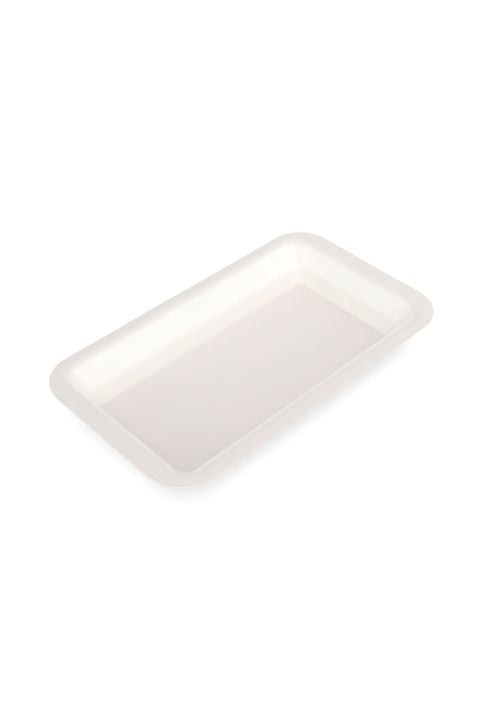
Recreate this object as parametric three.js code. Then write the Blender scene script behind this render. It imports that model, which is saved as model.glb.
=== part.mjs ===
// A shallow foam food tray, formed in one piece from a sheet of foamed polystyrene.
// Millimetres, +Z up. X runs along the tray, Y across it, and the origin is the middle of the underside.

import * as THREE from "three";

// Plan, measured over the rim's outline.
const RIM_LENGTH = 210;
const RIM_WIDTH = 120;
const RIM_CORNER_RADIUS = 22;

// Floor. Its corners are nearly sharp, and each corner of the wall is a cone that opens out above them.
const FLOOR_CORNER_RADIUS = 1.5;
const WALL_RUN = 24; // plan distance from the floor's edge to the rim's outline
const INNER_DEPTH = 22.5; // the floor's upper face to the top of the rim

// The wall has a steep lower band, a crease, and a shallower upper band that ends at the rim's flange.
const LOWER_BAND_RUN = 5.3;
const LOWER_BAND_RISE = 9.3;

// The flange is nearly flat and wider at the tray's ends than along its sides. Its outer strip droops a little.
const END_FLANGE_WIDTH = 10.9;
const SIDE_FLANGE_WIDTH = 7.6;
const DROOP_STRIP_WIDTH = 3;
const DROOP = 0.25;

// Foam sheet, which is pressed thinner in the flange, and the bends in it as they are on the upper face.
const SHEET_THICKNESS = 2.5;
const FLANGE_THICKNESS = 1.9;
const FLOOR_BEND_RADIUS = 1.5;
const CREASE_BEND_RADIUS = 8;
const SHOULDER_BEND_RADIUS = 6;
const DROOP_BEND_RADIUS = 18;
const PUNCHED_EDGE_RADIUS = 0.5;
const MOST_BENT = 0.9; // the share of a side that its two bends may take between them

// Facets in a quarter turn of the plan's corners, and the largest turn between two facets of a bend.
const CORNER_FACETS = 12;
const BEND_STEP = THREE.MathUtils.degToRad(12);

const foam = new THREE.MeshStandardMaterial({ name: "foam", color: 0xf7f3ee, roughness: 0.62, metalness: 0 });

// The section is drawn as the upper face's line, in (u, z): u is the plan distance outward from the
// floor's edge, and z is the height above the underside. Each corner has the bend that rounds it.
function upperFaceCorners(flangeWidth) {
  const floorTop = SHEET_THICKNESS;
  const rimTop = floorTop + INNER_DEPTH;
  const sheet = SHEET_THICKNESS;
  const flange = FLANGE_THICKNESS;
  return [
    { u: -WALL_RUN, z: floorTop, bend: 0, thickness: sheet },
    { u: 0, z: floorTop, bend: FLOOR_BEND_RADIUS, thickness: sheet },
    { u: LOWER_BAND_RUN, z: floorTop + LOWER_BAND_RISE, bend: CREASE_BEND_RADIUS, thickness: sheet },
    { u: WALL_RUN - flangeWidth, z: rimTop, bend: SHOULDER_BEND_RADIUS, thickness: sheet },
    { u: WALL_RUN - DROOP_STRIP_WIDTH, z: rimTop, bend: DROOP_BEND_RADIUS, thickness: flange },
    { u: WALL_RUN, z: rimTop - DROOP, bend: PUNCHED_EDGE_RADIUS, thickness: flange },
  ];
}

function direction(from, to) {
  return new THREE.Vector2(to.u - from.u, to.z - from.z).normalize();
}

// The same line on the other face of the sheet. Each corner moves along its bisector until both of its sides
// lie one thickness away, and a bend that turns towards the under face gets tighter. The edge is punched
// square to the sheet, so its two corners have the same bend.
function underFaceCorners(corners) {
  const last = corners.length - 1;
  return corners.map((corner, index) => {
    const before = direction(corners[Math.max(index - 1, 0)], corners[Math.max(index, 1)]);
    const after = direction(corners[Math.min(index, last - 1)], corners[Math.min(index + 1, last)]);
    const bisector = new THREE.Vector2(before.y + after.y, -before.x - after.x).normalize();
    const reach = corner.thickness / (bisector.x * before.y - bisector.y * before.x);
    const turn = before.cross(after);
    const bend = Math.max(corner.bend + Math.sign(turn) * corner.thickness, 0);
    return { u: corner.u + bisector.x * reach, z: corner.z + bisector.y * reach, bend };
  });
}

// The whole section as one line: out over the upper face, round the punched edge and back underneath.
function sectionCorners(flangeWidth) {
  const upper = upperFaceCorners(flangeWidth);
  return [...upper, ...underFaceCorners(upper).reverse()];
}

// The turn at each corner, and the length of straight side that its arc would take up on either side of it.
function measuredCorners(corners) {
  return corners.map((corner, index) => {
    const previous = corners[index - 1];
    const next = corners[index + 1];
    if (!previous || !next) {
      return { ...corner, turn: 0, wanted: 0 };
    }
    const before = direction(previous, corner);
    const after = direction(corner, next);
    const turn = Math.atan2(before.cross(after), before.dot(after));
    return { ...corner, before, after, turn, wanted: corner.bend * Math.tan(Math.abs(turn) / 2) };
  });
}

// The share of its wanted bend that a corner gets, where two bends compete for the side between them.
function sideShare(a, b) {
  const wanted = a.wanted + b.wanted;
  const room = Math.hypot(b.u - a.u, b.z - a.z) * MOST_BENT;
  return wanted > 0 ? Math.min(1, room / wanted) : 1;
}

// Replaces each corner by an arc that is tangent to both of its sides, in the given number of facets.
function bentLine(corners, facets) {
  const points = [];
  corners.forEach((corner, index) => {
    if (corner.wanted === 0) {
      points.push(new THREE.Vector2(corner.u, corner.z));
      return;
    }
    const share = Math.min(sideShare(corners[index - 1], corner), sideShare(corner, corners[index + 1]));
    const tangent = corner.wanted * share;
    const radius = corner.bend * share * Math.sign(corner.turn);
    const startU = corner.u - corner.before.x * tangent;
    const startZ = corner.z - corner.before.y * tangent;
    const centreU = startU - corner.before.y * radius;
    const centreZ = startZ + corner.before.x * radius;
    for (let step = 0; step <= facets[index]; step += 1) {
      const angle = (corner.turn * step) / facets[index];
      const spoke = new THREE.Vector2(startU - centreU, startZ - centreZ);
      spoke.rotateAround(new THREE.Vector2(0, 0), angle);
      points.push(new THREE.Vector2(centreU + spoke.x, centreZ + spoke.y));
    }
  });
  return points;
}

// The section at the tray's ends and the one at its sides, with as many points each, so that every point of
// one has its partner in the other.
function sectionPairs() {
  const end = measuredCorners(sectionCorners(END_FLANGE_WIDTH));
  const side = measuredCorners(sectionCorners(SIDE_FLANGE_WIDTH));
  const facets = end.map((corner, index) => {
    const turn = Math.max(Math.abs(corner.turn), Math.abs(side[index].turn));
    return Math.max(2, Math.ceil(turn / BEND_STEP));
  });
  const endLine = bentLine(end, facets);
  const sideLine = bentLine(side, facets);
  return endLine.map((point, index) => ({ end: point, side: sideLine[index] }));
}

// The corner radius grows evenly from the floor's edge to the rim's outline.
function cornerRadius(u) {
  return THREE.MathUtils.lerp(FLOOR_CORNER_RADIUS, RIM_CORNER_RADIUS, u / WALL_RUN);
}

// One turn of the tray's plan at a point of the section: a rectangle with round corners, counterclockwise
// from above. Round each corner the end's section changes evenly into the side's.
function planRing(pair) {
  const radiusX = cornerRadius(pair.end.x);
  const radiusY = cornerRadius(pair.side.x);
  const centreX = RIM_LENGTH / 2 - WALL_RUN + pair.end.x - radiusX;
  const centreY = RIM_WIDTH / 2 - WALL_RUN + pair.side.x - radiusY;
  const ring = [];
  const quarters = [[1, 1], [-1, 1], [-1, -1], [1, -1]];
  quarters.forEach(([signX, signY], quarter) => {
    for (let step = 0; step <= CORNER_FACETS; step += 1) {
      const angle = ((quarter + step / CORNER_FACETS) * Math.PI) / 2;
      const x = signX * centreX + radiusX * Math.cos(angle);
      const y = signY * centreY + radiusY * Math.sin(angle);
      const z = THREE.MathUtils.lerp(pair.end.y, pair.side.y, Math.sin(angle) ** 2);
      ring.push(new THREE.Vector3(x, y, z));
    }
  });
  return ring;
}

// Closes the section's rings into one skin. The floor and the underside are fans about their middles.
function trayGeometry() {
  const rings = sectionPairs().slice(1, -1).map(planRing);
  const ringSize = rings[0].length;

  const positions = [];
  rings.flat().forEach((vertex) => positions.push(vertex.x, vertex.y, vertex.z));
  const floorMiddle = positions.length / 3;
  positions.push(0, 0, SHEET_THICKNESS);
  const underMiddle = floorMiddle + 1;
  positions.push(0, 0, 0);

  const faces = [];
  const lastRing = (rings.length - 1) * ringSize;
  for (let i = 0; i < ringSize; i += 1) {
    const j = (i + 1) % ringSize;
    faces.push(floorMiddle, i, j);
    faces.push(underMiddle, lastRing + j, lastRing + i);
    for (let row = 0; row < lastRing; row += ringSize) {
      const outer = row + ringSize;
      faces.push(row + i, outer + i, outer + j);
      faces.push(row + i, outer + j, row + j);
    }
  }

  const geometry = new THREE.BufferGeometry();
  geometry.setAttribute("position", new THREE.Float32BufferAttribute(positions, 3));
  geometry.setIndex(faces);
  geometry.computeVertexNormals();
  return geometry;
}

const foamTray = new THREE.Mesh(trayGeometry(), foam);
foamTray.name = "foam_tray";

const tray = new THREE.Group();
tray.add(foamTray);

export default tray;
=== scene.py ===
# %% [markdown]
# # A foam food tray
# The tray is one sheet of foamed polystyrene, warmed, drawn over a mould and punched out. This notebook
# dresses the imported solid: it loads the solid as a fixed frame, draws a finer skin in the same place, gives
# it the look of foam, and lights it softly.

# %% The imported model
import math
from collections import namedtuple

import bpy
from mathutils import Matrix, Vector, noise


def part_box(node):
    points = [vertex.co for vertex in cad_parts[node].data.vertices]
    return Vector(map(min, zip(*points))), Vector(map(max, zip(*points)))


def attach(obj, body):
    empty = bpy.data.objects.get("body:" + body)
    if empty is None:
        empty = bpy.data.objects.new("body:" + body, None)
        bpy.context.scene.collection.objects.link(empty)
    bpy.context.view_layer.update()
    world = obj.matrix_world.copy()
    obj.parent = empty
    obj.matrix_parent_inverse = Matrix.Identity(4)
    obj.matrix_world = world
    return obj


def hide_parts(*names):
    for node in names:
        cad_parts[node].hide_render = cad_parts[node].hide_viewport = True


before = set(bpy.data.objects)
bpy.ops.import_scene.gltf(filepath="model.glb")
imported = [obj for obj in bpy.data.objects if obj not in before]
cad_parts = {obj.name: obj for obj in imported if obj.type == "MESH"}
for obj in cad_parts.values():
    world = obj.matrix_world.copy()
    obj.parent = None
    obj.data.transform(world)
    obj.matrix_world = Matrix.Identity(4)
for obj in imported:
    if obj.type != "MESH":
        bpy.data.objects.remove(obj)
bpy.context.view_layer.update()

TRAY_LOW, TRAY_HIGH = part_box("foam_tray")
print("packed tray, low and high corner in metres:", TRAY_LOW[:], TRAY_HIGH[:])

# %% [markdown]
# ## Sizes
# Blender works in metres, so every size is written as a number of millimetres times MM. The length, width and
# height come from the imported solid, and the section has the same bands and bends as its source.

# %% Sizes of the tray
MM = 0.001

RIM_LENGTH = TRAY_HIGH[0] - TRAY_LOW[0]
RIM_WIDTH = TRAY_HIGH[1] - TRAY_LOW[1]
HEIGHT = TRAY_HIGH[2] - TRAY_LOW[2]

SHEET = 2.5 * MM
FLANGE_SHEET = 1.9 * MM
RIM_CORNER = 22.0 * MM
FLOOR_CORNER = 1.5 * MM
WALL_RUN = 24.0 * MM
LOWER_RUN, LOWER_RISE = 5.3 * MM, 9.3 * MM
END_FLANGE, SIDE_FLANGE = 10.9 * MM, 7.6 * MM
DROOP_STRIP, DROOP = 3.0 * MM, 0.25 * MM

FLOOR_BEND = 1.5 * MM
CREASE_BEND = 8.0 * MM
SHOULDER_BEND = 6.0 * MM
DROOP_BEND = 18.0 * MM
CUT_BEND = 0.45 * MM

print("rim", round(RIM_LENGTH / MM, 1), "by", round(RIM_WIDTH / MM, 1), "height", round(HEIGHT / MM, 1), "mm")

# %% [markdown]
# ## The section
# A formed sheet is easiest to draw as its section: one line across the food side, and the same line one sheet
# thickness below it. In Blender this could be a curve with a Solidify modifier, but then the bends would only
# be as true as the modifier's offset. Here each corner of the line gets an arc that is tangent to both of its
# sides, so each bend has its real radius on both faces. The flange is wider at the tray's ends than along its
# sides, so there are two sections.

# %% The upper and the under line
Corner = namedtuple("Corner", "out up bend sheet")


def heading(a, b):
    """The unit direction from corner a to corner b."""
    return Vector((b.out - a.out, b.up - a.up)).normalized()


def food_side(flange):
    """Corners of the upper face. Out is counted from the floor's edge, up from the underside."""
    return [
        Corner(-WALL_RUN, SHEET, 0.0, SHEET),
        Corner(0.0, SHEET, FLOOR_BEND, SHEET),
        Corner(LOWER_RUN, SHEET + LOWER_RISE, CREASE_BEND, SHEET),
        Corner(WALL_RUN - flange, HEIGHT, SHOULDER_BEND, SHEET),
        Corner(WALL_RUN - DROOP_STRIP, HEIGHT, DROOP_BEND, FLANGE_SHEET),
        Corner(WALL_RUN, HEIGHT - DROOP, CUT_BEND, FLANGE_SHEET),
    ]


def under_side(corners):
    """The same line on the sheet's other face, each side one thickness away from its own."""
    last = len(corners) - 1
    line = []
    for i, corner in enumerate(corners):
        before = heading(corners[max(i - 1, 0)], corners[max(i, 1)])
        after = heading(corners[min(i, last - 1)], corners[min(i + 1, last)])
        away = Vector((before.y + after.y, -before.x - after.x)).normalized()
        reach = corner.sheet / (away.x * before.y - away.y * before.x)
        turn = before.cross(after)
        bend = max(corner.bend + math.copysign(corner.sheet, turn), 0.0) if turn else corner.bend
        line.append(Corner(corner.out + away.x * reach, corner.up + away.y * reach, bend, corner.sheet))
    return line


def whole_section(flange):
    """Out over the food side, round the punched edge and back under the tray."""
    upper = food_side(flange)
    return upper + under_side(upper)[::-1]


end_corners, side_corners = whole_section(END_FLANGE), whole_section(SIDE_FLANGE)
print("corners in a section:", len(end_corners))

# %% [markdown]
# A side of the line may be too short for the bends at both of its ends. Then both get tighter, and a tenth of
# the side stays straight, so that no two points of the line fall together.

# %% Rounding the corners
MOST_BENT = 0.9
Arc = namedtuple("Arc", "start centre turn")


def arcs(corners):
    """An arc for each inner corner, from where it leaves the side before it."""
    turns, wanted = [0.0], [0.0]
    for previous, corner, following in zip(corners, corners[1:], corners[2:]):
        before, after = heading(previous, corner), heading(corner, following)
        turns.append(math.atan2(before.cross(after), before.dot(after)))
        wanted.append(corner.bend * math.tan(abs(turns[-1]) / 2))
    turns.append(0.0)
    wanted.append(0.0)

    def room(i):
        """The share of their wanted bends that the corners at both ends of side i can have."""
        length = math.hypot(corners[i + 1].out - corners[i].out, corners[i + 1].up - corners[i].up)
        both = wanted[i] + wanted[i + 1]
        return min(1.0, length * MOST_BENT / both) if both else 1.0

    made = []
    for i in range(1, len(corners) - 1):
        part = min(room(i - 1), room(i))
        before = heading(corners[i - 1], corners[i])
        start = Vector((corners[i].out, corners[i].up)) - before * wanted[i] * part
        radius = math.copysign(corners[i].bend * part, turns[i])
        made.append(Arc(start, start + Vector((-before.y, before.x)) * radius, turns[i]))
    return made


def along(arc, share):
    """A point on the arc, from its start at 0 to its end at 1."""
    return arc.centre + (arc.start - arc.centre) @ Matrix.Rotation(-arc.turn * share, 2)


end_arcs, side_arcs = arcs(end_corners), arcs(side_corners)
print("turns at the ends, in degrees:", [round(math.degrees(a.turn), 1) for a in end_arcs])

# %% [markdown]
# The sheet is drawn out in the walls, most of all in the upper band, and pressed denser in the flange. Each
# point of a section carries two numbers from 0 to 1 for the foam's colour. The first says how far the
# sheet was drawn and carries painted light, so the walls come out whiter, the upper band most. The second
# says how far it was pressed and carries painted shade, so the flange comes out darker. The painted shade
# reaches a little way down the shoulder before the painted light sets in. The lists below give the floor,
# the lower band, the upper band, the flange and its drooping strip in turn, then the punched edge, and then
# the same places on the under face on the way back.

# %% Points along both sections
BEND_STEP = math.radians(5)
LONGEST_STEP = 1.6 * MM
LOWER_DRAWN_AND_LIT = 0.35
PAINTED_SHADE_REACH = 1.5

# Painted light on the walls, most in the upper band, on top of how far the sheet was drawn.
DRAWN_AND_LIT = [0.0, LOWER_DRAWN_AND_LIT, 1.0, 0.0, 0.0]
DRAWN_AND_LIT += [0.0] + DRAWN_AND_LIT[::-1]
# Painted shade on the flange and its strip, on top of how far the foam was pressed.
PRESSED_AND_SHADED = [0.0, 0.0, 0.0, 1.0, 1.0]
PRESSED_AND_SHADED += [1.0] + PRESSED_AND_SHADED[::-1]

Place = namedtuple("Place", "end side drawn pressed")


def section_places():
    """Points of the end's and the side's section in pairs, as many on each."""
    places = []
    for i, (end, side) in enumerate(zip(end_arcs, side_arcs)):
        if places:
            last = places[-1]
            reach = max((end.start - last.end).length, (side.start - last.side).length)
            steps = max(1, math.ceil(reach / LONGEST_STEP))
            for step in range(1, steps):
                share = step / steps
                ends, sides = last.end.lerp(end.start, share), last.side.lerp(side.start, share)
                places.append(Place(ends, sides, DRAWN_AND_LIT[i], PRESSED_AND_SHADED[i]))
        steps = max(2, math.ceil(max(abs(end.turn), abs(side.turn)) / BEND_STEP))
        for step in range(steps + 1):
            share = step / steps
            drawn, pressed = (v[i] + (v[i + 1] - v[i]) * share for v in (DRAWN_AND_LIT, PRESSED_AND_SHADED))
            # The flange's painted shade reaches down the shoulder and holds off the walls' painted light
            # there.
            loose_and_lit = (1 - pressed) ** PAINTED_SHADE_REACH
            places.append(Place(along(end, share), along(side, share), min(drawn, loose_and_lit), 1 - loose_and_lit))
    return places


places = section_places()
print("points in a section:", len(places))

# %% [markdown]
# ## The skin
# Every place of the sections travels once round the tray and draws a rectangle with round corners. The
# corner's radius grows evenly from the floor to the rim, which makes each corner of the wall a cone, as the
# mould does. Round a corner the end's section turns into the side's. A bevelled curve could sweep one section
# round, but not two that turn into each other, so the rings are worked out point by point. They are joined by
# faces, and the floor and the underside close with rings that shrink to a point.

# %% One turn round the tray
CORNER_STEPS = 40
LONG_STEPS = 54
SHORT_STEPS = 26


def corner_radius(out):
    return FLOOR_CORNER + (RIM_CORNER - FLOOR_CORNER) * max(out, 0.0) / WALL_RUN


def ring(place):
    """The tray's outline at one place of the sections, counterclockwise from above."""
    end, side = place.end, place.side
    radius_x, radius_y = corner_radius(end.x), corner_radius(side.x)
    centre_x = RIM_LENGTH / 2 - WALL_RUN + end.x - radius_x
    centre_y = RIM_WIDTH / 2 - WALL_RUN + side.x - radius_y
    points = []
    for quarter, (sx, sy) in enumerate(((1, 1), (-1, 1), (-1, -1), (1, -1))):
        for step in range(CORNER_STEPS + 1):
            angle = (quarter + step / CORNER_STEPS) * math.pi / 2
            up = end.y + (side.y - end.y) * math.sin(angle) ** 2
            x = sx * centre_x + radius_x * math.cos(angle)
            y = sy * centre_y + radius_y * math.sin(angle)
            points.append(Vector((x, y, up)))
        start = points[-1]
        if quarter % 2 == 0:
            finish, steps = Vector((-sx * centre_x, start.y, start.z)), LONG_STEPS
        else:
            finish, steps = Vector((start.x, -sy * centre_y, start.z)), SHORT_STEPS
        points += [start.lerp(finish, step / steps) for step in range(1, steps)]
    return points


print("points in one turn:", len(ring(places[0])))

# %% [markdown]
# In the middle of each corner the walls lose most of their painted light, which paints a shade down the
# corner. The flange is pressed a little less there too, so it takes less of its painted shade. One list marks
# those places for every ring.

# %% The middles of the corners
# Painted shade down the middle of each corner, taken off the walls' painted light.
CORNER_SHADE = 0.8
CORNER_LOOSE_AND_LIT = 0.25
CORNER_FOCUS = 4


def mid_corner():
    """For each point of a ring, 1 in the middle of a corner, falling to 0 at its ends and along the sides."""
    turn = [math.sin(math.pi * step / CORNER_STEPS) ** CORNER_FOCUS for step in range(CORNER_STEPS + 1)]
    return 2 * (turn + [0.0] * (LONG_STEPS - 1) + turn + [0.0] * (SHORT_STEPS - 1))


def weaker(share):
    """For each point of a ring, how much of a mark is left when a corner's middle loses a share of it."""
    return [1 - share * middle for middle in mid_corner()]


print("least left of the drawing in a corner:", round(min(weaker(CORNER_SHADE)), 2))

# %% Joining the turns into one skin
FLAT_RINGS = 12


def shrunk(one, share):
    """A flat ring drawn in towards the tray's middle."""
    return [Vector((v.x * share, v.y * share, v.z)) for v in one]


def skin():
    """Vertices and faces, and each vertex's marks: drawn and lit, pressed and shaded, and cut."""
    walls = [ring(place) for place in places]
    inner = [shrunk(walls[0], 1 - step / FLAT_RINGS) for step in range(FLAT_RINGS - 1, 0, -1)]
    under = [shrunk(walls[-1], 1 - step / FLAT_RINGS) for step in range(1, FLAT_RINGS)]
    rings = inner + walls + under
    size = len(rings[0])
    vertices = [v for one in rings for v in one]

    def on_vertices(values, round_the_ring=(1.0,) * size):
        by_ring = [0.0] * len(inner) + values + [0.0] * len(under)
        return [value * there for value in by_ring for there in round_the_ring] + [0.0, 0.0]

    # The drawn mark carries painted light and the pressed mark carries painted shade.
    marks = {
        "drawn": on_vertices([place.drawn for place in places], weaker(CORNER_SHADE)),
        "pressed": on_vertices([place.pressed for place in places], weaker(CORNER_LOOSE_AND_LIT)),
        "cut": on_vertices([float(place.end.x > WALL_RUN - CUT_BEND) for place in places]),
    }
    faces = []
    for row in range(len(rings) - 1):
        for i in range(size):
            j = (i + 1) % size
            a, b = row * size, (row + 1) * size
            faces.append((a + i, b + i, b + j, a + j))
    top, bottom = len(vertices), len(vertices) + 1
    vertices += [Vector((0, 0, rings[0][0].z)), Vector((0, 0, rings[-1][0].z))]
    end = (len(rings) - 1) * size
    for i in range(size):
        j = (i + 1) % size
        faces.append((top, i, j))
        faces.append((bottom, end + j, end + i))
    return vertices, faces, marks


vertices, faces, marks = skin()
print("vertices:", len(vertices), "faces:", len(faces))

# %% [markdown]
# ## Unevenness
# Foam sheet never comes off a mould quite true: the walls wander by a tenth of a millimetre or two, and the
# sheet gathers in faint upright flutes where it is stretched round a corner. A Displace modifier would push
# the sheet's two faces apart, because it moves each along its own normal. Both have to move together, so here
# the move depends only on the place. It fades out towards the underside, which stays flat. A flute grows over
# the first few millimetres past the floor's corner and has died out at the rim.
#
# The function noise_vector starts somewhere else each time Blender does, so the tray would come out different
# in every run. A single noise stays the same, and three of them, taken far apart, make a steady vector.

# %% Small moves of the skin
WANDER = 0.22 * MM
WANDER_SIZE = 42 * MM
FAR_APART = [Vector((3.7, 1.2, 5.4)), Vector((11.3, 8.6, 2.9)), Vector((6.1, 14.8, 9.5))]
FADE_HEIGHT = 7 * MM

FLUTE = 0.10 * MM
FLUTE_COUNT = 5
FLUTE_GROWTH, FLUTE_END = 8 * MM, 22 * MM
FLUTE_BEND, FLUTE_BEND_SIZE = 1.5, 6 * MM


def corner_place(point):
    """How far a point stands out past the floor's corner, and its angle there from 0 to 1."""
    past_x = abs(point.x) - (RIM_LENGTH / 2 - WALL_RUN)
    past_y = abs(point.y) - (RIM_WIDTH / 2 - WALL_RUN)
    if past_x <= 0 or past_y <= 0:
        return 0.0, 0.0
    return math.hypot(past_x, past_y), math.atan2(past_y, past_x) / (math.pi / 2)


def wander(point):
    """One noise for each direction, from three places of the same pattern."""
    return Vector([noise.noise(point / WANDER_SIZE + far) for far in FAR_APART]) * WANDER


def uneven(point):
    """The point moved by the sheet's wander and, in a corner, by the flutes."""
    height = min(max(point.z / FADE_HEIGHT, 0.0), 1.0)
    moved = point + wander(point) * height
    reach, share = corner_place(point)
    if reach > 0:
        rise, fall = min(reach / FLUTE_GROWTH, 1.0), max(0.0, 1 - reach / FLUTE_END)
        band = math.sin(math.pi * share) * rise * fall
        wave = math.cos(2 * math.pi * FLUTE_COUNT * share + FLUTE_BEND * noise.noise(point / FLUTE_BEND_SIZE))
        inward = Vector((-math.copysign(1, point.x), -math.copysign(1, point.y), 0)).normalized()
        moved += inward * FLUTE * wave * band
    return moved


uneven_vertices = [uneven(v) for v in vertices]
print("largest move in mm:", round(max((a - b).length for a, b in zip(vertices, uneven_vertices)) / MM, 3))

# %% [markdown]
# ## The tray as an object
# A mesh can carry numbers on its vertices, which the material reads later. Here one says how far the sheet
# was drawn at a place and carries painted light, one says how far it was pressed and carries painted shade,
# and one marks the punched edge, where the foam's cells are cut open. An image could say the same, but the
# skin would have to be unwrapped for it first.

# %% Making the mesh
def build_tray():
    mesh = bpy.data.meshes.new("foam_tray_skin")
    mesh.from_pydata(uneven_vertices, [], faces)
    mesh.polygons.foreach_set("use_smooth", [True] * len(mesh.polygons))
    for name, values in marks.items():
        mesh.attributes.new(name, "FLOAT", "POINT").data.foreach_set("value", values)
    mesh.update()
    tray = bpy.data.objects.new("tray_skin", mesh)
    bpy.context.scene.collection.objects.link(tray)
    return tray


tray = build_tray()
print("triangles:", sum(len(p.vertices) - 2 for p in tray.data.polygons))

# %% [markdown]
# ## Writing materials as sums
# A node tree is easier to read as a formula. The class below wraps one output of a node, so that plus, minus
# and times on it add Math nodes, and its maker adds every other kind of node. A Math node would turn a colour
# grey, so two colours are blended by a Mix node.

# %% A wire and its maker
class Wire:
    """One output socket of a node. Arithmetic on it adds Math nodes."""

    def __init__(self, recipe, socket):
        self.recipe = recipe
        self.socket = socket

    def beside(self, output):
        """Another output of the same node."""
        return Wire(self.recipe, self.socket.node.outputs[output])

    def _math(self, operation, a, b):
        return self.recipe.node("ShaderNodeMath", {"operation": operation}, {0: a, 1: b})

    def __add__(self, other):
        return self._math("ADD", self, other)

    def __sub__(self, other):
        return self._math("SUBTRACT", self, other)

    def __rsub__(self, other):
        return self._math("SUBTRACT", other, self)

    def __mul__(self, other):
        return self._math("MULTIPLY", self, other)

    __radd__ = __add__
    __rmul__ = __mul__


class Recipe:
    """A node tree, emptied, with its output node."""

    def __init__(self, tree, output):
        self.tree = tree
        self.tree.nodes.clear()
        self.out = self.tree.nodes.new(output)

    def node(self, kind, settings, sockets, output=0):
        """Adds a node: first its settings, then a value or a wire for each named socket."""
        node = self.tree.nodes.new(kind)
        for name, value in settings.items():
            setattr(node, name, value)
        for name, value in sockets.items():
            self.plug(node.inputs[name], value)
        return Wire(self, node.outputs[output])

    def blend(self, factor, a, b):
        """Colour a where the factor is 0 and colour b where it is 1."""
        settings = {"data_type": "RGBA", "clamp_factor": True}
        return self.node("ShaderNodeMix", settings, {"Factor": factor, "A": a, "B": b}, "Result")

    def plug(self, socket, value):
        if isinstance(value, Wire):
            self.tree.links.new(value.socket, socket)
        else:
            socket.default_value = value

    def finish(self, shader):
        self.plug(self.out.inputs["Surface"], shader)


def material(name):
    made = bpy.data.materials.new(name)
    made.use_nodes = True
    return made, Recipe(made.node_tree, "ShaderNodeOutputMaterial")


print("a wire can be added, taken away and multiplied")

# %% [markdown]
# ## Foam
# Foamed polystyrene is a white plastic full of closed cells a few tenths of a millimetre across. The skin is
# smooth and satin, but the cells show through it as a fine grain, and it clouds a little where the sheet was
# drawn thin. The walls are whiter than the floor and the flange, partly because they are drawn further and
# partly as painted light, and the flange is darker, partly as denser foam and partly as painted shade. The
# punched edge, where the cells are cut open, is painted darker, which is painted shade. Modelled one by one,
# the cells would take millions of faces, so they are a pattern that gives the surface its relief.

# %% The foam's colours and grain
# The drawn walls' whiter colour is partly painted light, the pressed flange's darker one partly painted
# shade.
FLAT_FOAM = (0.868, 0.822, 0.798, 1)
PRESSED_AND_SHADED_FOAM = (0.826, 0.786, 0.758, 1)
DRAWN_AND_LIT_FOAM = (0.925, 0.918, 0.892, 1)
DENSE_FOAM = (0.845, 0.805, 0.778, 1)
# The punched edge's darker colour is painted shade.
SHADED_CUT_FOAM = (0.775, 0.732, 0.705, 1)

CELL = 0.45 * MM
PEEL = 2.6 * MM
STREAK, STREAK_STRETCH = 3 * MM, (0.12, 1, 1)
CLOUD = 11 * MM
GRAIN_DETAIL = 2.0

CLOUDING, STREAKING, SPECKLING = 0.5, 0.35, 0.10
PEEL_RELIEF, CELL_RELIEF, OPEN_CELL_RELIEF = 0.5, 0.12, 0.9
RELIEF_STRENGTH, RELIEF_HEIGHT = 0.35, 0.12 * MM
SATIN, SATIN_SPREAD, CUT_DULLNESS = 0.56, 0.2, 0.2

print("cell", round(CELL / MM, 2), "mm, relief", round(RELIEF_HEIGHT / MM, 2), "mm high")

# %% [markdown]
# The colour starts from how the sheet was formed at a place, with its painted light on the walls and painted
# shade on the flange. Clouds, streaks along the tray and the cells themselves then shift it a little towards
# the colour of denser foam. A noise pattern lies around a half, so a half is taken away from the clouds and
# streaks. Some light enters the foam and leaves it a millimetre or two away, which Principled's subsurface
# does, and which softens every edge.

# %% The foam's material
def foam_finish():
    made, mix = material("foam")
    place = mix.node("ShaderNodeTexCoord", {}, {}, "Object")

    def mark(name):
        return mix.node("ShaderNodeAttribute", {"attribute_name": name}, {}, "Fac")

    def grain(size, stretch=(1, 1, 1)):
        scaled = mix.node("ShaderNodeVectorMath", {"operation": "MULTIPLY"}, {0: place, 1: stretch})
        sockets = {"Vector": scaled, "Scale": 1 / size, "Detail": GRAIN_DETAIL}
        return mix.node("ShaderNodeTexNoise", {}, sockets, "Fac")

    drawn, pressed, cut = mark("drawn"), mark("pressed"), mark("cut")
    cell_sockets = {"Vector": place, "Scale": 1 / CELL}
    cells = mix.node("ShaderNodeTexVoronoi", {"feature": "SMOOTH_F1"}, cell_sockets, "Distance")
    clouds = grain(CLOUD) - 0.5
    streaks = grain(STREAK, STREAK_STRETCH) - 0.5

    # Painted light on the walls and painted shade on the flange.
    formed_and_lit = mix.blend(pressed, mix.blend(drawn, FLAT_FOAM, DRAWN_AND_LIT_FOAM), PRESSED_AND_SHADED_FOAM)
    shade = clouds * CLOUDING + streaks * STREAKING + cells * SPECKLING
    relief = grain(PEEL) * PEEL_RELIEF + cells * (CELL_RELIEF + OPEN_CELL_RELIEF * cut)
    bump = {"Strength": RELIEF_STRENGTH, "Distance": RELIEF_HEIGHT, "Height": relief}
    mix.finish(mix.node("ShaderNodeBsdfPrincipled", {}, {
        "Base Color": mix.blend(cut, mix.blend(shade, formed_and_lit, DENSE_FOAM), SHADED_CUT_FOAM),
        "Roughness": SATIN + clouds * SATIN_SPREAD + cut * CUT_DULLNESS,
        "Normal": mix.node("ShaderNodeBump", {}, bump),
        "IOR": 1.45,
        "Specular IOR Level": 0.35,
        "Subsurface Weight": 0.7,
        "Subsurface Radius": (1.0, 0.9, 0.85),
        "Subsurface Scale": 1.5 * MM,
    }))
    return made


tray.data.materials.append(foam_finish())
print("nodes in the foam:", len(tray.data.materials[0].node_tree.nodes))

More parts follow.
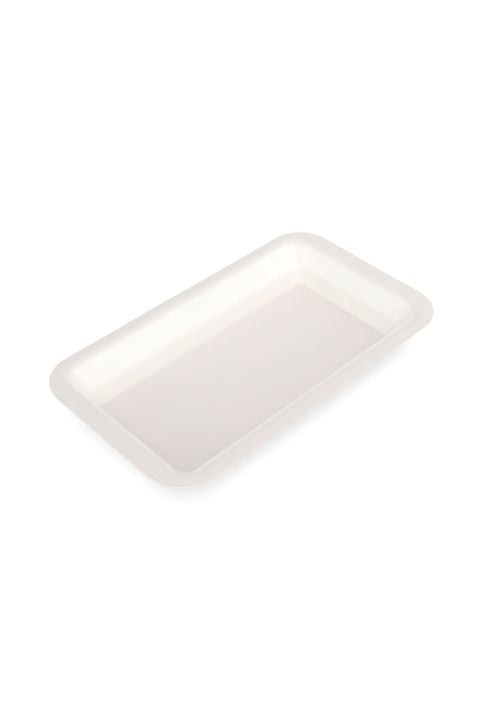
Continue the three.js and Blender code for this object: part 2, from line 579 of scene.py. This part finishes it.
# %% [markdown]
# ## The white table
# The tray stands on plain white paper. Lamps that make real paper white in the picture would also wash out
# the tray, so the camera sees two parts: some of the table's own diffuse light, which holds the tray's soft
# shadow, and a glow that brings the open table up to white. The glow is darker where the tray is within a few
# millimetres, as paper is in a narrow gap: this is the close shadow at the tray's foot. An Ambient Occlusion
# node finds those places. All other rays meet plain paper, which lights the tray from below.

# %% Paper
TABLE_SIDE = 6.0
WHITE = (1, 1, 1, 1)
PAPER = (0.9, 0.9, 0.9, 1)
SEEN_PAPER = (0.24, 0.24, 0.24, 1)
OPEN_GLOW = (0.84, 0.84, 0.84, 1)
GAP_GLOW = (0.395, 0.395, 0.395, 1)
GAP_REACH = 16 * MM
GAP_SAMPLES = 16


def seen_directly(mix):
    """1 for rays that end in the picture as they are, in a mirror or through glass."""
    rays = mix.node("ShaderNodeLightPath", {}, {}, "Is Camera Ray")
    straight = rays + rays.beside("Is Glossy Ray") + rays.beside("Is Transmission Ray")
    return mix.node("ShaderNodeClamp", {}, {"Value": straight})


def white_paper():
    made, mix = material("white_table")
    openness = mix.node("ShaderNodeAmbientOcclusion", {"samples": GAP_SAMPLES}, {"Distance": GAP_REACH}, "AO")
    glow = mix.node("ShaderNodeEmission", {}, {"Color": mix.blend(openness, GAP_GLOW, OPEN_GLOW)})
    shadowed = mix.node("ShaderNodeBsdfDiffuse", {}, {"Color": SEEN_PAPER})
    seen = mix.node("ShaderNodeAddShader", {}, {0: shadowed, 1: glow})
    plain = mix.node("ShaderNodeBsdfDiffuse", {}, {"Color": PAPER})
    mix.finish(mix.node("ShaderNodeMixShader", {}, {0: seen_directly(mix), 1: plain, 2: seen}))
    return made


print("the gap is dark up to", round(GAP_REACH / MM), "mm from the tray")

# %% The table
def build_table():
    half = TABLE_SIDE / 2
    corners = [(-half, -half, 0), (half, -half, 0), (half, half, 0), (-half, half, 0)]
    mesh = bpy.data.meshes.new("table")
    mesh.from_pydata(corners, [], [(0, 1, 2, 3)])
    table = bpy.data.objects.new("table", mesh)
    bpy.context.scene.collection.objects.link(table)
    table.data.materials.append(white_paper())
    return table


table = build_table()
print(table.name, TABLE_SIDE, "m wide")

# %% [markdown]
# The world has two strengths. What the camera sees of it is white, and what lights the tray is weaker, so the
# background can be white while the tray's pale walls keep their tone.

# %% The world
WORLD_LIGHT = 0.49
WORLD_SEEN = 1.0


def build_world():
    world = bpy.data.worlds.new("studio")
    world.use_nodes = True
    bpy.context.scene.world = world
    mix = Recipe(world.node_tree, "ShaderNodeOutputWorld")
    dome = mix.node("ShaderNodeBackground", {}, {"Color": WHITE, "Strength": WORLD_LIGHT})
    backdrop = mix.node("ShaderNodeBackground", {}, {"Color": WHITE, "Strength": WORLD_SEEN})
    mix.finish(mix.node("ShaderNodeMixShader", {}, {0: seen_directly(mix), 1: dome, 2: backdrop}))


build_world()
print("world light", WORLD_LIGHT)

# %% [markdown]
# ## Light
# A tray in a white studio gets light from all round it. The world is an even fill, which alone would hide the
# tray's form. Four wide, low lamps stand for the studio's white walls and set how light each of the tray's
# walls is, so that none goes dark. A key lamp at the viewer's shoulder makes the far walls the brightest
# faces, and its shadow falls behind the tray, out of sight. The softbox on the right is close, so the right
# end of the tray is a little brighter than the left. Each lamp's strength is how white it makes a white card
# that faces it, so the sum says plainly how bright it will be. Angles are in degrees and lengths in metres.

# %% Lamps
Lamp = namedtuple("Lamp", "name azimuth elevation distance side strength")

LAMPS = [
    Lamp("right_wall", 10, 20, 3.0, 1.3, 0.12),
    Lamp("back_wall", 90, 20, 3.0, 1.3, 0.10),
    Lamp("left_wall", 180, 20, 3.0, 1.3, 0.21),
    Lamp("front_wall", 270, 20, 3.0, 1.3, 0.265),
    Lamp("key", 225, 42, 3.0, 1.3, 0.19),
    Lamp("right_softbox", 15, 50, 0.75, 0.4, 0.155),
]


def stand_up(lamp):
    """A square lamp that shines on the tray. Azimuth 0 is along +X and 90 along +Y."""
    light = bpy.data.lights.new(lamp.name, "AREA")
    light.shape = "SQUARE"
    light.size = lamp.side
    light.energy = lamp.strength * (math.pi * lamp.distance) ** 2
    holder = bpy.data.objects.new(lamp.name, light)
    azimuth, elevation = math.radians(lamp.azimuth), math.radians(lamp.elevation)
    flat = math.cos(elevation)
    away = Vector((flat * math.cos(azimuth), flat * math.sin(azimuth), math.sin(elevation)))
    holder.location = away * lamp.distance
    holder.rotation_mode = "QUATERNION"
    holder.rotation_quaternion = away.to_track_quat("Z", "Y")
    bpy.context.scene.collection.objects.link(holder)


for lamp in LAMPS:
    stand_up(lamp)
print("lamps:", [lamp.name for lamp in LAMPS])

# %% [markdown]
# ## Camera
# The photograph looks down on a long side's left end. The camera stands 573 mm from the tray and its lens is
# close to 49 mm on a 36 mm frame. The turn, the tilt and a third of a degree of roll were found by matching
# the rim, the crease and the floor's corners.

# %% Camera
CAMERA_TURN = math.radians(44.23)
CAMERA_TILT = math.radians(42.34)
CAMERA_ROLL = math.radians(0.34)
CAMERA_DISTANCE = 573.0 * MM
CAMERA_AIM = Vector((2.35 * MM, 9.34 * MM, SHEET))
LENS_MM = 48.98
FRAME_MM = 36.0
NEAREST_SEEN, FURTHEST_SEEN = 0.02, 20.0


def build_camera():
    data = bpy.data.cameras.new("camera")
    data.sensor_width = FRAME_MM
    data.lens = LENS_MM
    data.clip_start, data.clip_end = NEAREST_SEEN, FURTHEST_SEEN
    camera = bpy.data.objects.new("camera", data)
    flat = math.cos(CAMERA_TILT)
    look = Vector((math.sin(CAMERA_TURN) * flat, math.cos(CAMERA_TURN) * flat, -math.sin(CAMERA_TILT)))
    camera.location = CAMERA_AIM - look * CAMERA_DISTANCE
    turn = look.to_track_quat("-Z", "Y").to_matrix() @ Matrix.Rotation(CAMERA_ROLL, 3, "Z")
    camera.rotation_mode = "QUATERNION"
    camera.rotation_quaternion = turn.to_quaternion()
    bpy.context.scene.collection.objects.link(camera)
    bpy.context.scene.camera = camera
    return camera


camera = build_camera()
bpy.context.scene.view_settings.view_transform = "Standard"
print("camera at", [round(v, 4) for v in camera.location])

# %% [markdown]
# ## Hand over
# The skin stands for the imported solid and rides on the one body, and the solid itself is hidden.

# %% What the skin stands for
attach(tray, "root")
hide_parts("foam_tray")
print(tray.name, "stands for foam_tray")
